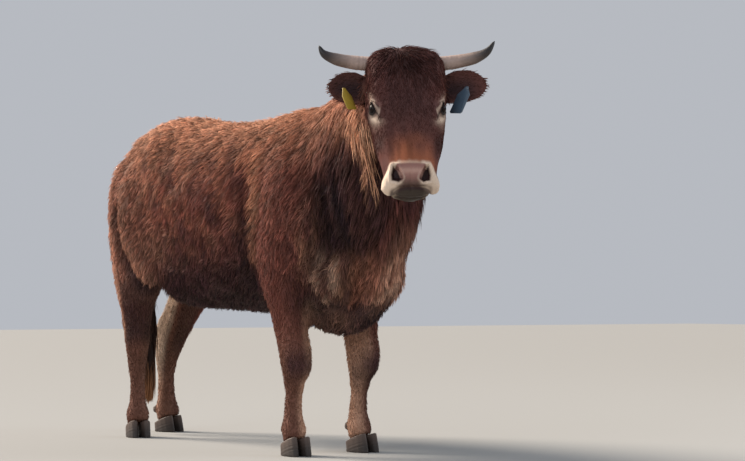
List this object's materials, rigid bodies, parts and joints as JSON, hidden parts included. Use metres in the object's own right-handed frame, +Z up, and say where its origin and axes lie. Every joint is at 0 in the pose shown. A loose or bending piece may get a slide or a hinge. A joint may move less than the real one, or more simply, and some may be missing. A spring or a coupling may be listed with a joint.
{
  "type": "cow",
  "caption": "Life-size standing beef cow with short curved horns, ear tags, cloven hooves and a hanging tail, head raised and turned to its right.",
  "frame": {"origin": "middle of the footprint of the whole cow on the floor, under its bounding box", "axes": "+X forwards along the trunk, +Y to the cow's left, +Z up"},
  "size_m": [2.4822, 0.6536, 1.5663],
  "materials": {
    "coat": "red-brown hair over hide, matte",
    "udder": "bare pink-tan skin with fine hair",
    "switch_hair": "long dark hair with a golden end",
    "horn": "grey-tan horn with near-black tips, low sheen",
    "hoof": "grey-brown hoof horn, fine rings, matte",
    "eye": "wet, very dark brown",
    "tag_blue": "blue-grey flexible plastic, bare, satin",
    "tag_yellow": "yellow flexible plastic, bare, satin"
  },
  "bodies": {
    "root": {"trunk": "coat", "neck": "coat", "head": "coat", "ear_left": "coat", "ear_right": "coat", "eye_left": "eye", "eye_right": "eye", "horn_left": "horn", "horn_right": "horn", "tag_blue": "tag_blue", "tag_yellow": "tag_yellow", "fore_right_leg": "coat", "fore_right_claw_outer": "hoof", "fore_right_claw_inner": "hoof", "fore_right_dewclaw_outer": "hoof", "fore_right_dewclaw_inner": "hoof", "fore_left_leg": "coat", "fore_left_claw_outer": "hoof", "fore_left_claw_inner": "hoof", "fore_left_dewclaw_outer": "hoof", "fore_left_dewclaw_inner": "hoof", "hind_right_leg": "coat", "hind_right_claw_outer": "hoof", "hind_right_claw_inner": "hoof", "hind_right_dewclaw_outer": "hoof", "hind_right_dewclaw_inner": "hoof", "hind_left_leg": "coat", "hind_left_claw_outer": "hoof", "hind_left_claw_inner": "hoof", "hind_left_dewclaw_outer": "hoof", "hind_left_dewclaw_inner": "hoof", "tail": "coat", "tail_switch": "switch_hair", "udder": "udder"}
  },
  "joints": []
}
